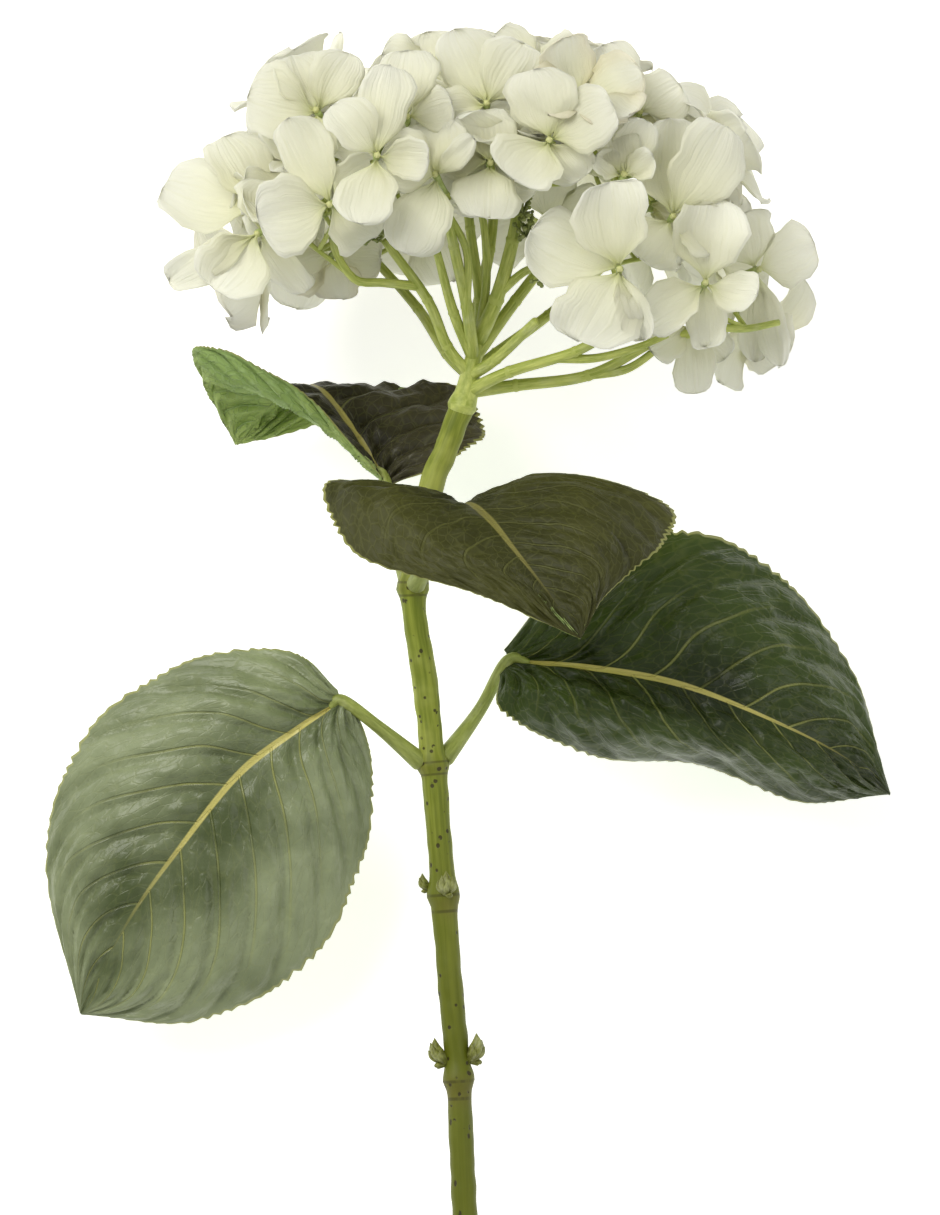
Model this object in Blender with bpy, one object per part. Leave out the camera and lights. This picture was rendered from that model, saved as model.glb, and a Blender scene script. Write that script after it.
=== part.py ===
"""A cut hydrangea: one mophead flower on a leafy stem, lying on its back on a surface.

The plant is drawn upright, in millimetres: X to the right, Y up the stem and Z to the front, from the
point where the flower stalks part. An empty then lays it on its back and sets it on the floor.
"""

from itertools import product
from math import cos, pi, radians, sin

import bmesh
import bpy
from mathutils import Euler, Matrix, Vector
from mathutils.bvhtree import BVHTree

MM = 0.001
LEAN = 11.5
GAP = 0.3

STEM_SIDES = 10
STEM_RINGS = 38
STEM_RADIUS = 3.8
STEM_LINE = (
    (1.5, -4.4, 0), (-3.2, -17, 0), (-8.4, -31, 0), (-13.4, -59, 0), (-9.8, -88, 0), (-7.3, -113, 0),
    (-4.8, -143, 0), (-2.2, -179, 0), (0.4, -208, 0), (2.4, -251, 0), (3.4, -290, 0), (4.4, -322, 0),
)
STEM_JOINTS = (-59, -113, -153, -209)
JOINT_SWELL = 1.1
JOINT_SPREAD = 3.2
CUT_SLANT = 24

LEAF_THICK = 1.1
LEAF_STATIONS = 13
LEAF_COLUMNS = 8
PETIOLE_RADIUS = 1.7

SEPAL_THICK = 0.8
SEPAL_BROAD = 0.44
SEPAL_SPREAD = 0.85
SEPAL_CROSS_CUP = 0.1
HUB_RADIUS = 1.9
HUB_HEIGHT = 1.6
PEDICEL_RADIUS = 0.8
PEDICEL_LENGTH = 9
RAISED_PAIR = 10

# Each leaf: where its stalk leaves the stem (height, and place round it in degrees), the stalk's line, and
# five lines from the blade's base to its apex: left edge, left middle, midrib, right middle, right edge.
LEAVES = {
    "leaf_left": {
        "foot": (-113, 165),
        "petiole": ((-17, -110, 4), (-24, -102, 7), (-35, -94, 9)),
        "ribs": (
            ((-36, -91, 9), (-51, -79, 6), (-84, -82, 3), (-113, -104, 0), (-126, -140, -3), (-115, -190, -3)),
            ((-35.5, -92.5, 9), (-50, -91, 13), (-75, -98, 15), (-98, -120, 12), (-114, -149, 6), (-115, -190, -3)),
            ((-35, -94, 9), (-49, -103, 12), (-66, -116, 13), (-83, -137, 11), (-100, -161, 6), (-115, -190, -3)),
            ((-33.5, -93.7, 9), (-38, -109, 12), (-46, -131, 13), (-63, -157, 10), (-87, -178, 5), (-115, -190, -3)),
            ((-32, -93.5, 8), (-26, -112, 4), (-28, -143, 1), (-45, -174, -2), (-77, -192, -4), (-115, -190, -3)),
        ),
    },
    "leaf_right": {
        "foot": (-112, -18),
        "petiole": ((1.5, -108, -5), (7, -97, -8), (15.5, -82, -4)),
        "ribs": (
            ((14, -79, -6), (31, -60, -8), (62, -42, -12), (92, -51, -14), (115, -83, -18), (133, -123, -20)),
            ((15, -80.5, -5), (36, -72, 2), (64, -65, 6), (93, -76, 4), (117, -98, -6), (133, -123, -20)),
            ((15.5, -82, -4), (41, -84, 3), (68, -89, 6), (94, -99, 4), (118, -111, -6), (133, -123, -20)),
            ((14.5, -84, -3), (31, -91, 7), (56, -101, 13), (85, -109, 10), (112, -117, -1), (133, -123, -20)),
            ((13, -86, -3), (14, -98, -1), (37, -110, -5), (71, -112, -9), (105, -121, -12), (133, -123, -20)),
        ),
    },
    "leaf_front": {
        "foot": (-59, 78),
        "petiole": ((-11.5, -57, 9), (-8, -50, 16), (-4, -42, 22)),
        "ribs": (
            ((-1, -40, 21), (31, -24.5, 30), (64, -35.5, 45), (62, -47, 62), (49, -62, 76), (37, -75, 88)),
            ((-2.5, -41, 22), (19, -27, 35), (36, -30, 53), (39, -42, 69), (41, -57, 80), (37, -75, 88)),
            ((-4, -42, 22), (2, -34, 38), (9, -38, 56), (18, -49, 72), (28, -62, 82), (37, -75, 88)),
            ((-5.5, -41.5, 22), (-5, -31, 36), (-19, -32, 54), (-8, -47, 70), (19, -60, 80), (37, -75, 88)),
            ((-7, -41, 21), (-17, -30.5, 30), (-40, -29, 44), (-30, -50, 62), (4, -64, 76), (37, -75, 88)),
        ),
    },
    "leaf_back": {
        "foot": (-59, 252),
        "petiole": ((-16.5, -56, -9), (-19.5, -42, -14), (-22, -27, -18)),
        "ribs": (
            ((-22.5, -26, -16), (-37, -10, -10), (-52, 4, -8), (-72, 13, -14), (-81, 12, -24), (-68, -15.5, -44)),
            ((-22.5, -27, -17), (-37, -13, -14), (-53, -3, -14), (-66, 3, -20), (-74, 2, -31), (-68, -15.5, -44)),
            ((-22, -27, -18), (-31, -12, -27), (-42, 2, -37), (-50, 2, -44), (-60, -5, -46), (-68, -15.5, -44)),
            ((-21, -27.5, -18), (-16, -15, -26), (-17, -2, -38), (-30, 2, -49), (-53, -6, -50), (-68, -15.5, -44)),
            ((-20, -28, -18), (-1, -20, -22), (9, -11, -32), (-4, 3, -46), (-48, -11, -50), (-68, -15.5, -44)),
        ),
    },
}

# Each bud: the joint that it sits in, its place round the stem in degrees, and its length.
BUDS = {
    "bud_front": (-153, 80, 7.5),
    "bud_left_upper": (-152, 190, 5.5),
    "bud_left_lower": (-205, 172, 8.5),
    "bud_right_lower": (-204, 8, 9.0),
}

# Each floret: its centre, the way it faces, the turn of its sepals, the sepals' length and their cup.
FLORETS = (
    ((-60, 57, 6), (-0.5, 0.4, -0.7), 12, 25, 12),
    ((-60, 48, 24), (-0.5, -0.3, 0.8), 40, 22, 10),
    ((-38, 56, 46), (-0.3, -0.1, 1), 12, 23, 14),
    ((-24, 70, 58), (0.1, 0.25, 1), 45, 20, 34),
    ((-6, 64, 50), (-0.35, 0.55, 0.55), 20, 19, 12),
    ((10, 68, 44), (0.1, 0.35, 0.9), 0, 18, 22),
    ((-42, 84, 32), (-0.45, 0.6, 0.6), 30, 22, 20),
    ((-15, 82, 42), (-0.05, 0.45, 0.9), 60, 21, 28),
    ((9, 86, 39), (0.05, 0.55, 0.8), 20, 22, 24),
    ((28, 75, 52), (-0.1, 0.1, 1), 10, 21, 22),
    ((49, 36, 58), (0, 0, 1), 8, 22, 10),
    ((75, 32, 38), (0.15, 0.4, 0.9), 15, 23, 14),
    ((50, 64, 46), (0.35, 0.75, 0.5), 20, 15, 50),
    ((65, 52, 40), (0.3, 0.35, 0.85), 45, 24, 20),
    ((91, 37, 8), (0.75, 0.2, 0.5), 30, 21, 14),
    ((55, 84, 22), (0.45, 0.65, 0.5), 25, 22, 20),
    ((24, 96, 18), (0, 0.85, 0.45), 15, 22, 20),
    ((-8, 98, 10), (-0.1, 0.95, 0.2), 35, 21, 20),
    ((79, 72, 8), (0.75, 0.6, 0.2), 15, 22, 16),
    ((71, 20, 16), (0.2, -0.65, 0.6), 40, 20, 12),
    ((-38, 42, -8), (-0.5, -0.5, -0.7), 15, 20, 10),
    ((-46, 90, 2), (-0.5, 0.85, 0.1), 10, 21, 18),
    ((38, 98, -8), (0.2, 0.95, -0.2), 0, 21, 18),
    ((38, 88, 36), (0.2, 0.6, 0.75), 40, 19, 26),
    ((90, 22, -12), (0.7, -0.4, -0.4), 10, 19, 12),
)
# The florets at the back sit in rows over the head: the row's height at its sides and at the back, its
# reach from the middle, its depth, and how many florets it has.
HEAD_MIDDLE = (9, 50)
BACK_ROWS = (
    (36, 54, 72, 42, 6),
    (62, 80, 62, 50, 5),
    (84, 92, 42, 26, 4),
)
BACK_START = 15
SHRINKS = (1, 0.94, 0.88, 0.82, 0.76, 0.7, 0.64, 0.58, 0.52)
LIFTS = (0, 2, -2, 4, 6)
TURNS = (0, 14, -14, 28, -28)
CUPS = (0, 14, 28)

# The flower stalks: the number of the point in the crown that each leaves, its points and its radii.
CROWN = ((1.65, -3.9, 0), (3, 0, 0), (4, 5, 0.5), (5, 10, 1), (6.5, 16, 1))
CROWN_RADII = (3.9, 3.6, 3.1, 2.6, 2.2)
STALKS = (
    (2, ((-3, 14, 4), (-9, 28, 10), (-22, 46, 17)), (1.7, 1.6, 1.4)),
    (3, ((-1, 24, 12), (-6, 42, 25)), (1.6, 1.3)),
    (3, ((3, 26, 14), (-1, 44, 26), (-3, 54, 34)), (1.8, 1.6, 1.4)),
    (4, ((7, 28, 3), (4, 50, 8), (2, 70, 10)), (1.7, 1.5, 1.4)),
    (4, ((12, 28, 10), (17, 46, 16), (20, 66, 22)), (2.2, 2, 1.6)),
    (2, ((12, 10, 10), (24, 21, 26)), (1.7, 1.5)),
    (1, ((16, 6, 10), (36, 12, 20), (50, 20, 30)), (1.8, 1.6, 1.4)),
    (1, ((18, 2, 3), (40, 5, 6), (58, 14, 11)), (1.8, 1.7, 1.4)),
    (2, ((-3, 12, -10), (-12, 26, -24), (-26, 42, -32)), (1.8, 1.6, 1.3)),
    (3, ((6, 24, -10), (10, 44, -22), (12, 62, -28)), (1.9, 1.7, 1.4)),
    (2, ((12, 12, -10), (28, 24, -24), (44, 38, -30)), (1.8, 1.6, 1.3)),
    (3, ((18, 28, -2), (34, 48, -4), (48, 62, -4)), (1.8, 1.6, 1.3)),
)
TWIG_RADIUS = 1.0


def clear_scene():
    for thing in list(bpy.data.objects):
        bpy.data.objects.remove(thing, do_unlink=True)


def material(name, colour, roughness):
    made = bpy.data.materials.new(name)
    made.use_nodes = True
    shader = made.node_tree.nodes["Principled BSDF"]
    shader.inputs["Base Color"].default_value = (*colour, 1)
    shader.inputs["Roughness"].default_value = roughness
    shader.inputs["Metallic"].default_value = 0
    return made


def add_node(name, verts, faces, finish, plant):
    """One named object from points in millimetres, with its faces turned out."""
    mesh = bpy.data.meshes.new(name)
    mesh.from_pydata([Vector(p) * MM for p in verts], [], faces)
    work = bmesh.new()
    work.from_mesh(mesh)
    bmesh.ops.recalc_face_normals(work, faces=work.faces)
    work.to_mesh(mesh)
    work.free()
    mesh.shade_smooth()
    mesh.materials.append(finish)
    thing = bpy.data.objects.new(name, mesh)
    thing.parent = plant
    bpy.context.scene.collection.objects.link(thing)
    return thing


def smooth_line(points, t):
    """The point at t, from 0 to 1, on a smooth curve through all the points."""
    count = len(points) - 1
    place = min(max(t, 0), 1) * count
    k = min(int(place), count - 1)
    f = place - k
    b, c = Vector(points[k]), Vector(points[k + 1])
    a = Vector(points[k - 1]) if k > 0 else 2 * b - c
    d = Vector(points[k + 2]) if k + 2 <= count else 2 * c - b
    bend = (2 * a - 5 * b + 4 * c - d) * f * f + (3 * b - a - 3 * c + d) * f ** 3
    return (2 * b + (c - a) * f + bend) / 2


def line_direction(points, t):
    return (smooth_line(points, t + 0.01) - smooth_line(points, t - 0.01)).normalized()


def loft(rings):
    """Faces that join rings of the same number of points, with both ends closed."""
    size = len(rings[0])
    verts = [p for ring in rings for p in ring]
    faces = [tuple(range(size))]
    for r in range(len(rings) - 1):
        for i in range(size):
            j = (i + 1) % size
            faces.append((r * size + i, (r + 1) * size + i, (r + 1) * size + j, r * size + j))
    faces.append(tuple(range(len(verts) - 1, len(verts) - size - 1, -1)))
    return verts, faces


def circle(centre, along, radius, sides, start=None):
    """A ring of points round a line, the first of them towards start."""
    out = (start or Vector((0, 0, 1))).cross(along).normalized()
    across = along.cross(out)
    turns = [2 * pi * i / sides for i in range(sides)]
    return [centre + (across * cos(a) + out * sin(a)) * radius for a in turns]


def stem_radius(y):
    swell = sum(2.718 ** (-((y - joint) / JOINT_SPREAD) ** 2) for joint in STEM_JOINTS)
    return STEM_RADIUS + JOINT_SWELL * min(swell, 1)


def stem_centre(y):
    """The stem's middle at a height, found by halving."""
    low, high = 0.0, 1.0
    for _ in range(24):
        middle = (low + high) / 2
        if smooth_line(STEM_LINE, middle).y > y:
            low = middle
        else:
            high = middle
    return smooth_line(STEM_LINE, low), line_direction(STEM_LINE, low)


def make_stem(plant):
    rings = []
    for k in range(STEM_RINGS):
        centre = smooth_line(STEM_LINE, k / (STEM_RINGS - 1))
        along = line_direction(STEM_LINE, k / (STEM_RINGS - 1))
        rings.append(circle(centre, along, stem_radius(centre.y), STEM_SIDES))
    slant = Matrix.Rotation(radians(CUT_SLANT), 3, "X")
    rings[-1] = [centre + slant @ (p - centre) for p in rings[-1]]
    add_node("stem", *loft(rings), material("stem", (0.31, 0.36, 0.06), 0.5), plant)


def make_bud(name, plant, finish):
    """A pointed bud that sits upright in a joint of the stem."""
    y, turn, length = BUDS[name]
    centre, along = stem_centre(y)
    out = Vector((cos(radians(turn)), 0, sin(radians(turn))))
    foot = centre + out * (stem_radius(y) + GAP + length * 0.1)
    tip = foot + out * length * 0.42 - along * length * 0.9
    bulge = foot + out * length * 0.22 - along * length * 0.32
    line = (foot, bulge, tip)
    rings = []
    for t, width in ((0, 0.1), (0.18, 0.2), (0.42, 0.26), (0.7, 0.19), (0.9, 0.09), (1, 0.02)):
        rings.append(circle(smooth_line(line, t), line_direction(line, t), length * width, 7, along))
    add_node(name, *loft(rings), finish, plant)


def blade_point(shape, t, s):
    """A point of the blade's upper face: t runs from base to apex, s from the left edge to the right."""
    across = [smooth_line(rib, t) for rib in shape["ribs"]]
    return smooth_line(across, s)


def blade_up(shape, t, s):
    """The way the blade's upper face looks."""
    along = blade_point(shape, min(t + 0.02, 1), s) - blade_point(shape, max(t - 0.02, 0), s)
    across = blade_point(shape, t, min(s + 0.04, 1)) - blade_point(shape, t, max(s - 0.04, 0))
    return across.cross(along).normalized()


def leaf_ring(shape, t):
    places = [k / LEAF_COLUMNS for k in range(LEAF_COLUMNS + 1)]
    top = [blade_point(shape, t, s) for s in places]
    bottom = [p - blade_up(shape, t, s) * LEAF_THICK for p, s in zip(top, places)]
    return top + bottom[::-1]


def make_leaf(name, plant, finish):
    shape = LEAVES[name]
    y, turn = shape["foot"]
    out = Vector((cos(radians(turn)), 0, sin(radians(turn))))
    foot = stem_centre(y)[0] + out * (stem_radius(y) + GAP)
    stalk = (foot, *shape["petiole"])
    rings = []
    for k in range(6):
        t = k / 6
        along = line_direction(stalk, t) if k else out
        radius = PETIOLE_RADIUS * (1.5 - 0.6 * min(t * 2.5, 1))
        rings.append(stalk_ring(smooth_line(stalk, t), along, blade_up(shape, 0.05, 0.5), radius))
    for k in range(LEAF_STATIONS):
        rings.append(leaf_ring(shape, 0.01 + 0.975 * k / (LEAF_STATIONS - 1)))
    add_node(name, *loft(rings), finish, plant)


def stalk_ring(centre, along, up, radius):
    """A round ring with as many points as a blade ring, in the same order."""
    up = (up - along * up.dot(along)).normalized()
    across = along.cross(up)
    count = LEAF_COLUMNS + 1
    turns = [pi * (1 - (k + 0.5) / count) for k in range(count)]
    top = [centre + (across * cos(a) + up * sin(a)) * radius for a in turns]
    bottom = [centre + (across * cos(a) - up * sin(a)) * radius for a in turns]
    return top + bottom[::-1]


def sepal_width(u):
    return 0.2 + 0.8 * max(sin(pi * min(u * 0.93, 1)), 0) ** 0.6


def sepal_ring(u, turn, length, cup, thick):
    """One cross-section of a sepal: three points over and three under."""
    angle = radians(cup)
    out = Vector((cos(turn), sin(turn), 0))
    side = Vector((-sin(turn), cos(turn), 0))
    reach = HUB_RADIUS + u * (length - HUB_RADIUS) * cos(angle)
    rise = HUB_HEIGHT / 2 + u * length * sin(angle)
    half = min(SEPAL_BROAD * length * sepal_width(u), SEPAL_SPREAD * reach) if u else HUB_RADIUS * 0.26
    lift = half * SEPAL_CROSS_CUP * 2
    edges = ((-half, lift), (0, 0), (half, lift))
    over = [out * reach + side * s + Vector((0, 0, rise + h + thick / 2)) for s, h in edges]
    under = [p - Vector((0, 0, thick)) for p in over]
    return over + under[::-1]


def floret_mesh(length, cup, thick, pedicel):
    """A floret that faces +Z: an eye, four sepals round it and a stalk below."""
    verts, faces = [], []
    hub_over, hub_under = [], []
    for k in range(4):
        turn = k * pi / 2
        raised = cup + RAISED_PAIR * (k % 2)
        first = len(verts)
        rings = [sepal_ring(u, turn, length, raised, thick) for u in (0, 0.22, 0.5, 0.78, 1)]
        ends, sides = loft(rings)
        verts += ends
        faces += [tuple(first + i for i in face) for face in sides[1:]]
        hub_over += [first, first + 1, first + 2]
        hub_under += [first + 5, first + 4, first + 3]
    for k in range(4):
        a, b = 3 * k + 2, (3 * k + 3) % 12
        faces.append((hub_over[a], hub_over[b], hub_under[b], hub_under[a]))
    eye = len(verts)
    verts.append(Vector((0, 0, HUB_HEIGHT + 1.2)))
    faces += [(hub_over[i], hub_over[(i + 1) % 12], eye) for i in range(12)]
    stalk = [circle(Vector((0, 0, z)), Vector((0, 0, -1)), PEDICEL_RADIUS, 6, Vector((0, 1, 0)))
             for z in (-1, -pedicel)]
    stalk_verts, stalk_faces = loft(stalk)
    first = len(verts)
    verts += stalk_verts
    faces += [tuple(first + i for i in face) for face in stalk_faces[1:]]
    near = [min(range(6), key=lambda j, v=verts[hub_under[i]]: (verts[first + j] - v).length) for i in range(12)]
    for i in range(12):
        j = (i + 1) % 12
        if near[i] == near[j]:
            faces.append((hub_under[i], hub_under[j], first + near[i]))
        else:
            faces.append((hub_under[i], hub_under[j], first + near[j], first + near[i]))
    return verts, faces


def back_florets():
    """The rows behind the head, each an arc round its middle."""
    made = []
    for row, (side, back, reach, depth, count) in enumerate(BACK_ROWS):
        for k in range(count):
            turn = pi * (k + 0.5) / count
            y = side + (back - side) * sin(turn)
            x = HEAD_MIDDLE[0] + reach * cos(turn)
            z = -BACK_START - depth * min(1.25 * sin(turn), 1)
            aim = (0.8 * cos(turn), (y - HEAD_MIDDLE[1]) / 60, -sin(turn))
            made.append(((x, y, z), aim, 23 * (row + 2 * k), 21, 14))
    return made


def pose(centre, aim, turn, lift):
    facing = Vector(aim).normalized()
    place = Matrix.Translation(Vector(centre) + facing * lift)
    facing_turn = facing.to_track_quat("Z", "Y").to_matrix().to_4x4()
    return place @ facing_turn @ Matrix.Rotation(radians(turn), 4, "Z")


def fit_floret(spec, placed):
    """The first size, cup, lift and turn at which the floret clears all that stands."""
    centre, aim, turn, length, cup = spec
    for shrink, more, lift, extra in product(SHRINKS, CUPS, LIFTS, TURNS):
        matrix = pose(centre, aim, turn + extra, lift)
        size = length * shrink
        wide, faces = floret_mesh(size, cup + more, SEPAL_THICK + 2 * GAP, PEDICEL_LENGTH + 1)
        tree = BVHTree.FromPolygons([matrix @ p for p in wide], faces)
        if not any(tree.overlap(other) for other in placed):
            verts, faces = floret_mesh(size, cup + more, SEPAL_THICK, PEDICEL_LENGTH)
            return [matrix @ p for p in verts], faces, matrix
    return None


def tree_of(verts, faces):
    return BVHTree.FromPolygons([Vector(p) for p in verts], faces)


def tube(points, radii, sides):
    """A round tube through the points, with a radius at each."""
    rings = []
    for k, (point, radius) in enumerate(zip(points, radii)):
        along = Vector(points[min(k + 1, len(points) - 1)]) - Vector(points[max(k - 1, 0)])
        rings.append(circle(Vector(point), along.normalized(), radius, sides, Vector((0.3, 0.2, 1))))
    return loft(rings)


def tube_tree(points, radius):
    return tree_of(*tube(points, [radius] * len(points), 6))


def joined(shapes):
    """Several closed shapes as one list of points and one of faces."""
    verts, faces = [], []
    for shape_verts, shape_faces in shapes:
        faces += [tuple(len(verts) + i for i in face) for face in shape_faces]
        verts += shape_verts
    return verts, faces


def stalk_trees():
    trees = []
    for start, points, radii in STALKS:
        line = (CROWN[start], *points)
        trees.append(tube_tree(line, max(radii) + GAP + 0.4))
    return trees


def find_twig(end, joints, placed):
    """A bent line from one of the nearest stalk points to a floret's stalk, clear of all else."""
    for start in sorted(joints, key=lambda point: (point - end).length)[:8]:
        run = end - start
        side = run.cross(Vector((0.2, 0.3, 1))).normalized()
        for bend in (0, 0.15, -0.15, 0.3, -0.3):
            middle = start + run * 0.5 + side * run.length * bend
            stop = end + (middle - end).normalized() * 2 * GAP
            tree = tube_tree((start.lerp(middle, 0.25), middle, stop), TWIG_RADIUS + 0.45)
            if not any(tree.overlap(other) for other in placed):
                return start, middle, stop
    return None


def make_cyme(plant, ends, placed):
    """The crown with its stalks, and a twig from the nearest stalk to each floret."""
    joints = []
    stalk_tubes, twig_tubes = [], []
    for start, points, radii in STALKS:
        joints += [Vector(point) for point in points]
        stalk_tubes.append(tube((CROWN[start], *points), (radii[0], *radii), 8))
    for end in ends:
        twig = find_twig(end, joints, placed)
        if not twig:
            continue
        joints.append(twig[1])
        placed.append(tube_tree((twig[0].lerp(twig[1], 0.25), *twig[1:]), TWIG_RADIUS + GAP))
        twig_tubes.append(tube(twig, [TWIG_RADIUS] * 3, 6))
    finish = material("cyme", (0.30, 0.38, 0.09), 0.5)
    cyme = add_node("cyme", *tube(CROWN, CROWN_RADII, 10), finish, plant)
    branches = [joined(tubes) for tubes in (stalk_tubes, twig_tubes)]
    for name, (branch_verts, branch_faces) in zip(("stalk_shapes", "twig_shapes"), branches):
        shapes = add_node(name, branch_verts, branch_faces, finish, plant)
        shapes.hide_render = True
        shapes.display_type = "WIRE"
        union = cyme.modifiers.new(name, "BOOLEAN")
        union.operation = "UNION"
        union.object = shapes
        union.use_self = True


def lay_down(plant):
    """Leans the plant back and sets its lowest point on the floor, with its box round the origin."""
    plant.rotation_euler = Euler((radians(LEAN), 0, 0))
    bpy.context.view_layer.update()
    graph = bpy.context.evaluated_depsgraph_get()
    corners = []
    for thing in plant.children:
        solid = thing.evaluated_get(graph)
        mesh = solid.to_mesh()
        corners += [solid.matrix_world @ v.co for v in mesh.vertices]
        solid.to_mesh_clear()
    low = [min(p[axis] for p in corners) for axis in range(3)]
    high = [max(p[axis] for p in corners) for axis in range(3)]
    plant.location = (-(low[0] + high[0]) / 2, -(low[1] + high[1]) / 2, -low[2])


def main():
    clear_scene()
    plant = bpy.data.objects.new("plant", None)
    bpy.context.scene.collection.objects.link(plant)
    make_stem(plant)
    bud = material("bud", (0.22, 0.27, 0.05), 0.55)
    for name in BUDS:
        make_bud(name, plant, bud)
    leaf = material("leaf", (0.07, 0.10, 0.04), 0.45)
    for name in LEAVES:
        make_leaf(name, plant, leaf)
    sepal = material("sepal", (0.80, 0.80, 0.62), 0.6)
    placed = [tree_of([v.co / MM for v in thing.data.vertices], [p.vertices[:] for p in thing.data.polygons])
              for thing in plant.children]
    placed += stalk_trees()
    florets = []
    ends = []
    for spec in (*FLORETS, *back_florets()):
        fitted = fit_floret(spec, placed)
        if not fitted:
            continue
        verts, faces, matrix = fitted
        placed.append(tree_of(verts, faces))
        ends.append(matrix @ Vector((0, 0, -PEDICEL_LENGTH)))
        florets.append((verts, faces))
    for k, (verts, faces) in enumerate(florets):
        add_node(f"floret_{k + 1:02d}", verts, faces, sepal, plant)
    make_cyme(plant, ends, placed)
    lay_down(plant)


main()
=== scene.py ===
from math import cos, exp, pi, radians, sin, sqrt
from random import Random

import bmesh
import bpy
from mathutils import Matrix, Vector
from mathutils.noise import noise


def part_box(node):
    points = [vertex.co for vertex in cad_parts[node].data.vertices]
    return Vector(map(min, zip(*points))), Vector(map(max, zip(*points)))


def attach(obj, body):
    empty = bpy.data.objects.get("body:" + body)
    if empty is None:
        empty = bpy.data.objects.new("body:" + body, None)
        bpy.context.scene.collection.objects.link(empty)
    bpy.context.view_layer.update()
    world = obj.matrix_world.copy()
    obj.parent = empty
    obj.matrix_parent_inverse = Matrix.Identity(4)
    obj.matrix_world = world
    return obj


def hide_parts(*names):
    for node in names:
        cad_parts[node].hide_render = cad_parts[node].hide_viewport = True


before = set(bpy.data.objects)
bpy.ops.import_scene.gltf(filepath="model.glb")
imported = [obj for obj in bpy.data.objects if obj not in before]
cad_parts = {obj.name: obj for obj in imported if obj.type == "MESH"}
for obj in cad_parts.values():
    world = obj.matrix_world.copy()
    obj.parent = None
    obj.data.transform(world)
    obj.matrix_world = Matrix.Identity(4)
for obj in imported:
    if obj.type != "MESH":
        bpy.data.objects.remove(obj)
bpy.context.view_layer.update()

mm = 0.001

# The plant is drawn upright in millimetres: X right, Y up the stem, Z to the front. Then it is laid back.
plant = {"lean": 11.5, "backdrop": 4.0, "soft": 0.012}

stem = {
    "line": (
        (1.5, -4.4, 0), (-3.2, -17, 0), (-8.4, -31, 0), (-13.4, -59, 0), (-9.8, -88, 0), (-7.3, -113, 0),
        (-4.8, -143, 0), (-2.2, -179, 0), (0.4, -208, 0), (2.4, -251, 0), (3.4, -290, 0), (4.4, -322, 0),
    ),
    "radius": 3.8, "joints": (-59, -113, -153, -209), "swell": 1.1, "spread": 3.2,
    "cutSlant": 24, "cutShare": 0.012, "rings": 300, "sides": 40, "lumps": 0.16,
    # the rim just below each joint: how high it stands, how broad it is and how far down it lies
    "rim": 0.35, "rimBreadth": 0.8, "rimDrop": 1.6,
    "streaks": (16, 9), "poreGrid": (8, 95),
    "light": (152, 161, 60), "dark": (104, 117, 28), "low": (88, 94, 6), "joint": (104, 96, 40),
    "pore": (48, 38, 18), "pith": (226, 226, 190), "pithRing": (176, 178, 120),
}


def smoothLine(points, t):
    # the point at t, from 0 to 1, on a smooth curve through all the points
    count = len(points) - 1
    place = min(max(t, 0), 1) * count
    k = min(int(place), count - 1)
    f = place - k
    b, c = Vector(points[k]), Vector(points[k + 1])
    a = Vector(points[k - 1]) if k > 0 else 2 * b - c
    d = Vector(points[k + 2]) if k + 2 <= count else 2 * c - b
    bend = (2 * a - 5 * b + 4 * c - d) * f * f + (3 * b - a - 3 * c + d) * f ** 3
    return (2 * b + (c - a) * f + bend) / 2


def lineDirection(points, t):
    return (smoothLine(points, t + 0.01) - smoothLine(points, t - 0.01)).normalized()


def between(value, low, high):
    # 0 at low, 1 at high, smooth between
    share = min(max((value - low) / (high - low), 0), 1)
    return share * share * (3 - 2 * share)


def bell(distance):
    # 1 at no distance, falling away smoothly on both sides
    return exp(-distance ** 2)


def stemRadius(y):
    swell = sum(bell((y - joint) / stem["spread"]) for joint in stem["joints"])
    return stem["radius"] + stem["swell"] * min(swell, 1)


def stemPlace(y):
    # how far along the stem a height is, found by halving
    low, high = 0.0, 1.0
    for _ in range(24):
        middle = (low + high) / 2
        if smoothLine(stem["line"], middle).y > y:
            low = middle
        else:
            high = middle
    return low


def ringPoint(centre, along, radius, turn, start=Vector((0, 0, 1))):
    out = start.cross(along).normalized()
    across = along.cross(out)
    return centre + (across * cos(turn) + out * sin(turn)) * radius


def layBack():
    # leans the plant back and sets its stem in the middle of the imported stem's box
    lean = Matrix.Rotation(radians(plant["lean"]), 4, "X") @ Matrix.Scale(mm, 4)
    slant = Matrix.Rotation(radians(stem["cutSlant"]), 3, "X")
    points = []
    for k in range(38):
        centre = smoothLine(stem["line"], k / 37)
        along = lineDirection(stem["line"], k / 37)
        for i in range(10):
            p = ringPoint(centre, along, stemRadius(centre.y), pi * i / 5)
            points.append(lean @ (centre + slant @ (p - centre) if k == 37 else p))
    low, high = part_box("stem")
    ends = [(min(p[i] for p in points), max(p[i] for p in points)) for i in range(3)]
    return Matrix.Translation([(low[i] + high[i] - sum(ends[i])) / 2 for i in range(3)]) @ lean


laid = layBack()
print("stage: plant laid at", [round(c, 5) for c in laid.translation])


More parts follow.
